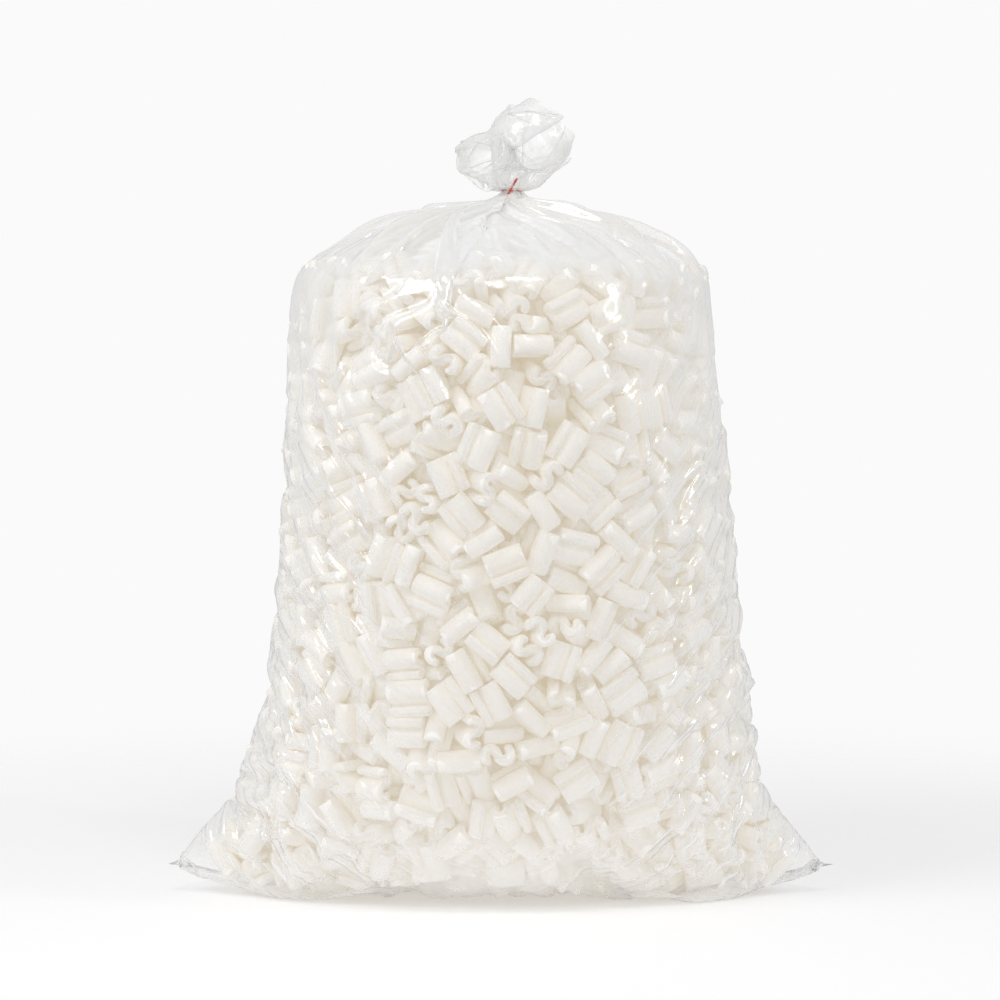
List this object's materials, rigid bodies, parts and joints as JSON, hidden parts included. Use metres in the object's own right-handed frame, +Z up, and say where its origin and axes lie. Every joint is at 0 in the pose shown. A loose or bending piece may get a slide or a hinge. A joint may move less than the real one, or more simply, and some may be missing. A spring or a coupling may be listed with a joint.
{
  "type": "bag of loose fill packing peanuts",
  "caption": "Tall clear film bag of white S-shaped foam packing peanuts, flat-sealed at the bottom with two raised corners and gathered at the neck by a red twist tie.",
  "frame": {"origin": "on the floor, under the middle of the bag's footprint, on its flat underside", "axes": "+Z up along the bag to its tied neck; the bottom seal and its two raised corners run along X; the front faces -Y"},
  "size_m": [0.63, 0.418, 0.755],
  "materials": {
    "film": "clear polyethylene film, glossy, wrinkled",
    "foam": "matt white expanded foam with fine cells",
    "tie": "red plastic ribbon over a wire"
  },
  "bodies": {
    "root": {"film_bag": "film", "twist_tie": "tie", "peanut_core": "foam", "peanut_01": "foam", "peanut_02": "foam", "peanut_03": "foam", "peanut_04": "foam", "peanut_05": "foam", "peanut_06": "foam", "peanut_07": "foam", "peanut_08": "foam", "peanut_09": "foam", "peanut_10": "foam", "peanut_11": "foam", "peanut_12": "foam", "peanut_13": "foam", "peanut_14": "foam", "peanut_15": "foam", "peanut_16": "foam", "peanut_17": "foam", "peanut_18": "foam", "peanut_19": "foam", "peanut_20": "foam", "peanut_21": "foam", "peanut_22": "foam", "peanut_23": "foam", "peanut_24": "foam", "peanut_25": "foam", "peanut_26": "foam", "peanut_27": "foam", "peanut_28": "foam", "peanut_29": "foam", "peanut_30": "foam", "peanut_31": "foam", "peanut_32": "foam", "peanut_33": "foam", "peanut_34": "foam", "peanut_35": "foam", "peanut_36": "foam", "peanut_37": "foam", "peanut_38": "foam", "peanut_39": "foam", "peanut_40": "foam", "peanut_41": "foam", "peanut_42": "foam", "peanut_43": "foam", "peanut_44": "foam", "peanut_45": "foam", "peanut_46": "foam", "peanut_47": "foam", "peanut_48": "foam", "peanut_49": "foam", "peanut_50": "foam", "peanut_51": "foam", "peanut_52": "foam"}
  },
  "joints": []
}
